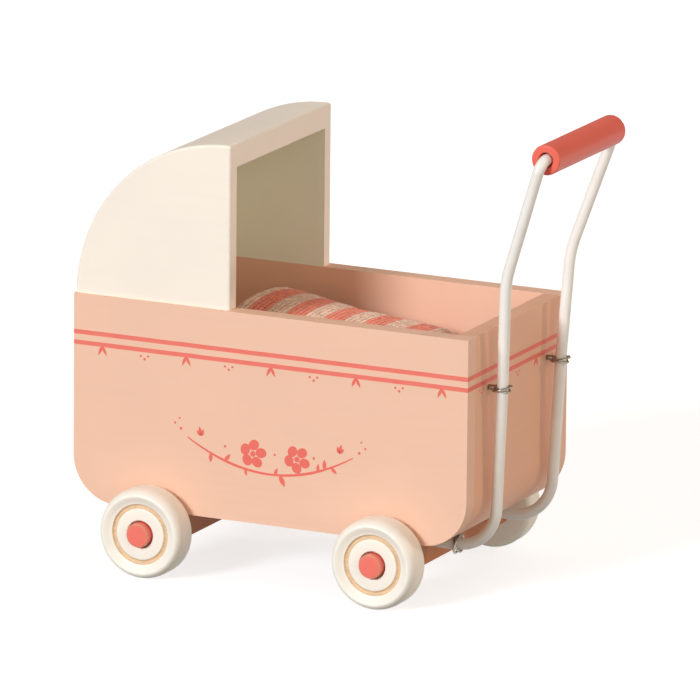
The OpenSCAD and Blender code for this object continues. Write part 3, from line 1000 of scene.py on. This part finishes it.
def make_stitches(grid):
    """Every stitch of the knit as a pair of yarn legs that lean apart, on the blanket's skin."""
    thick, apart, overlap, lean_share, least = 0.4 * MM, 0.25, 1.15, 0.26, 0.45
    mid_i = len(grid) // 2
    skin_w = sum((a - b).length for a, b in zip(grid[mid_i], grid[mid_i][1:]))
    rows, columns = knit_rows(grid), round(skin_w / STITCH_W)
    step_i, step_j = (len(grid) - 1) / rows, (len(grid[0]) - 1) / columns
    dice = random.Random(5)
    points, faces, pale, tone = [], [], [], []
    for row in range(rows):
        for column in range(columns):
            a, b = (row + 0.5) * step_i, (column + 0.5) * step_j
            centre = between(grid, a, b)
            along = between(grid, a + step_i / 2, b) - between(grid, a - step_i / 2, b)
            across = between(grid, a, b + step_j / 2) - between(grid, a, b - step_j / 2)
            if along.length < least * STITCH_L or across.length < least * STITCH_W:
                continue
            out = across.cross(along).normalized()
            side = across.normalized()
            shade = dice.random()
            for lean in (-1, 1):
                heart = centre + across * apart * lean + out * dice.uniform(0.08, 0.24) * MM
                leg_way = along * overlap + across * lean_share * lean
                corner = len(points)
                new_points, new_faces = yarn_leg(heart, leg_way, side, out, thick)
                points += new_points
                faces += [tuple(corner + k for k in face) for face in new_faces]
                pale += [float(is_pale(row))] * len(new_faces)
                tone += [shade * 0.5 + 0.5 * dice.random()] * len(new_faces)
    mesh = bpy.data.meshes.new("stitches")
    mesh.from_pydata(points, [], faces)
    for name, values in (("pale_yarn", pale), ("tone", tone)):
        mesh.attributes.new(name, "FLOAT", "FACE").data.foreach_set("value", values)
    bm = bmesh.new()
    bm.from_mesh(mesh)
    bpy.data.meshes.remove(mesh)
    finish_mesh("knit_stitches", bm, yarn, "blanket", sharp_deg=180)


def make_blanket():
    """A plump folded knit: a puffed core under a skin of stitches."""
    most_shift, held_h, pressure = 1.2 * MM, 1.0 * MM, 0.5
    lo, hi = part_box("knitted_blanket")
    proud = Vector((0.5, 0.5, 0.5)) * MM
    head_room = Vector((3.2, 0, 0)) * MM
    bm, top = closed_grid(blanket_surface(lo + proud, hi - proud - head_room))
    puffed(bm, most_shift, lo + proud, hi - proud, lo.z + held_h, pressure)
    grid = [[vert.co.copy() for vert in line] for line in top]
    pale = bm.faces.layers.float.new("pale_yarn")
    rows = knit_rows(grid)
    row = bm.faces.layers.int["row"]
    for face in bm.faces:
        face[pale] = float(is_pale(int((face[row] + 0.5) * rows / (len(grid) - 1))))
    # The core shows in the darker yarn colours, as painted shade between the stitches.
    core = finish_mesh("blanket_core", bm, yarn_gap_shade, "blanket", sharp_deg=180)
    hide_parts("knitted_blanket")
    make_stitches(grid)


def make_mattress():
    """A box cushion in plain cotton, crowned on top, with a piped seam round its upper edge."""
    corner, count, steps, crease = 4 * MM, 120, 9, 0.25 * MM
    most_shift, pressure, piping_r = 0.5 * MM, 0.5, 0.4 * MM
    side_rings = ((0.0, 1.2), (0.06, 0.35), (0.35, 0.1), (0.65, 0.1), (0.88, 0.35), (0.93, 0.9))
    lo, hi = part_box("mattress")
    mid, half = (lo + hi) / 2, (hi - lo) / 2
    bm = bmesh.new()
    rings = []
    for share, pull in side_rings:
        z = lo.z + (hi.z - lo.z) * share
        plan = [cushion_plan(a, mid, half, corner, pull * MM) for a in turns(count)]
        rings.append([bm.verts.new((x, y, z)) for x, y in plan])
    seam = rings[-1]
    centre_top = Vector((mid.x, mid.y, hi.z - 0.2 * MM))
    for k in range(1, steps):
        ring = []
        for vert in seam:
            point = vert.co.lerp(centre_top, k / steps)
            point.z = seam[0].co.z + (centre_top.z - seam[0].co.z) * sin(k / steps * pi / 2)
            ring.append(bm.verts.new(point + Vector((0, 0, crease * noise.noise(point * 180)))))
        rings.append(ring)
    skin(bm, rings)
    bm.faces.new(rings[-1])
    bm.faces.new(rings[0][::-1])
    puffed(bm, most_shift, lo, hi, seam[0].co.z + 0.01 * MM, pressure)
    piping = [vert.co.copy() for vert in seam]
    piece = finish_mesh("cotton_mattress", bm, mattress_cotton, sharp_deg=180)
    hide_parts("mattress")
    bm = bmesh.new()
    closed_tube(bm, piping, piping_r, 10)
    finish_mesh("mattress_piping", bm, mattress_cotton)


def cushion_plan(angle, mid, half, corner, inset):
    """(x, y) on a rounded rectangle whose sides pull in a little between its corners."""
    c, s = cos(angle), sin(angle)
    reach = 1 / max(abs(c) / half.x, abs(s) / half.y)
    x, y = c * reach, s * reach
    dx, dy = abs(x) - (half.x - corner), abs(y) - (half.y - corner)
    if dx > 0 and dy > 0 and hypot(dx, dy) > corner:
        shrink = corner / hypot(dx, dy)
        x = copysign(half.x - corner + dx * shrink, x)
        y = copysign(half.y - corner + dy * shrink, y)
    waist_x = 0.5 * MM * cos(y / half.y * pi / 2)
    waist_y = 0.7 * MM * cos(x / half.x * pi / 2)
    return (mid.x + x * (1 - (inset + waist_x) / half.x), mid.y + y * (1 - (inset + waist_y) / half.y))


def closed_tube(bm, points, radius, sides):
    """A round tube along a closed, nearly level loop."""
    count = len(points)
    rings = []
    for i, point in enumerate(points):
        along = (points[(i + 1) % count] - points[i - 1]).normalized()
        out = along.cross(Vector((0, 0, 1))).normalized()
        rings.append([bm.verts.new(point + out * radius * cos(a) + Vector((0, 0, radius * sin(a))))
                      for a in turns(sides)])
    skin(bm, rings + rings[:1])


make_blanket()
make_mattress()


# -------- floor, light and camera
def make_floor():
    """White paper that glows a little, so it stays white in soft light."""
    grey, glow = (0.5, 0.5, 0.5), 0.74
    paint = Paint("floor_paper")
    paint.surface.inputs["Emission Color"].default_value = (1, 1, 1, 1)
    paint.surface.inputs["Emission Strength"].default_value = glow
    paper = paint.finish(Base_Color=paint.mix(paint.noise(3.0, 2.0), darker(grey, 0.99), grey), Roughness=0.9)
    bm = bmesh.new()
    bmesh.ops.create_grid(bm, x_segments=4, y_segments=4, size=4.0)
    mesh = bpy.data.meshes.new("floor")
    bm.to_mesh(mesh)
    bm.free()
    mesh.materials.append(paper)
    floor = add_object("floor", mesh)
    floor.visible_diffuse = False


def sun(name, azimuth, elevation, strength, softness, colour):
    """A soft sun. The azimuth is from +Y towards +X, and the angles are in degrees."""
    light = bpy.data.lights.new(name, "SUN")
    light.energy = strength
    light.angle = radians(softness)
    light.color = colour
    lamp = add_object(name, light)
    a, e = radians(azimuth), radians(elevation)
    towards = Vector((sin(a) * cos(e), cos(a) * cos(e), sin(e)))
    lamp.rotation_euler = towards.to_track_quat("Z", "Y").to_euler()
    lamp.location = towards


def make_world(colour, above, below):
    """A dome of soft light, weaker from below, since the floor's bounce is left out."""
    world = bpy.data.worlds.new("studio")
    bpy.context.scene.world = world
    world.use_nodes = True
    tree = world.node_tree
    background = tree.nodes["Background"]
    background.inputs["Color"].default_value = (*colour, 1)
    place = tree.nodes.new("ShaderNodeTexCoord")
    split = tree.nodes.new("ShaderNodeSeparateXYZ")
    ramp = tree.nodes.new("ShaderNodeMapRange")
    ramp.interpolation_type = "SMOOTHSTEP"
    for name, value in (("From Min", -0.4), ("From Max", 0.3), ("To Min", below), ("To Max", above)):
        ramp.inputs[name].default_value = value
    tree.links.new(place.outputs["Generated"], split.inputs[0])
    tree.links.new(split.outputs["Z"], ramp.inputs["Value"])
    tree.links.new(ramp.outputs["Result"], background.inputs["Strength"])


def make_camera():
    """A long lens on the left side, a little from the foot end. It looks slightly off its aim point."""
    azimuth, elevation, roll = radians(205.75), radians(13.72), radians(0.52)
    distance = 2.7084
    lens_mm, sensor_mm = 515.03657, 36
    aim_right, aim_up = 0.05 * MM, 43.19 * MM
    slant_right, slant_up = 0.003025583, -0.001093404
    back = Vector((sin(azimuth) * cos(elevation), -cos(azimuth) * cos(elevation), sin(elevation)))
    level_right = Vector((cos(azimuth), sin(azimuth), 0))
    level_up = back.cross(level_right)
    right = level_right * cos(roll) + level_up * sin(roll)
    up = level_up * cos(roll) - level_right * sin(roll)
    target = Vector((BODY_MID_X, 0, UNDER_Z))
    camera_data = bpy.data.cameras.new("camera")
    camera_data.sensor_width = sensor_mm
    camera_data.lens = lens_mm
    camera_data.clip_start, camera_data.clip_end = 0.1, 50
    camera = add_object("camera", camera_data)
    camera.location = target + right * aim_right + up * aim_up + back * distance
    forward = (right * slant_right + up * slant_up - back).normalized()
    true_right = forward.cross(up).normalized()
    true_up = true_right.cross(forward)
    turn = Matrix((true_right, true_up, -forward)).transposed()
    camera.rotation_mode = "QUATERNION"
    camera.rotation_quaternion = turn.to_quaternion()
    bpy.context.scene.camera = camera


make_floor()
make_world(colour=(1.0, 0.9, 0.8), above=0.37, below=0.16)
sun("key", azimuth=18, elevation=22, strength=2.3, softness=18, colour=(0.89, 0.94, 1.0))
sun("front_fill", azimuth=-60, elevation=12, strength=0.7, softness=50, colour=(1.0, 0.94, 0.84))
sun("rear_fill", azimuth=-120, elevation=22, strength=0.6, softness=5, colour=(1.0, 0.8, 0.66))
sun("far_side_fill", azimuth=172, elevation=1, strength=0.9, softness=10, colour=(1.0, 0.95, 0.88))
make_camera()
bpy.context.scene.view_settings.view_transform = "Standard"
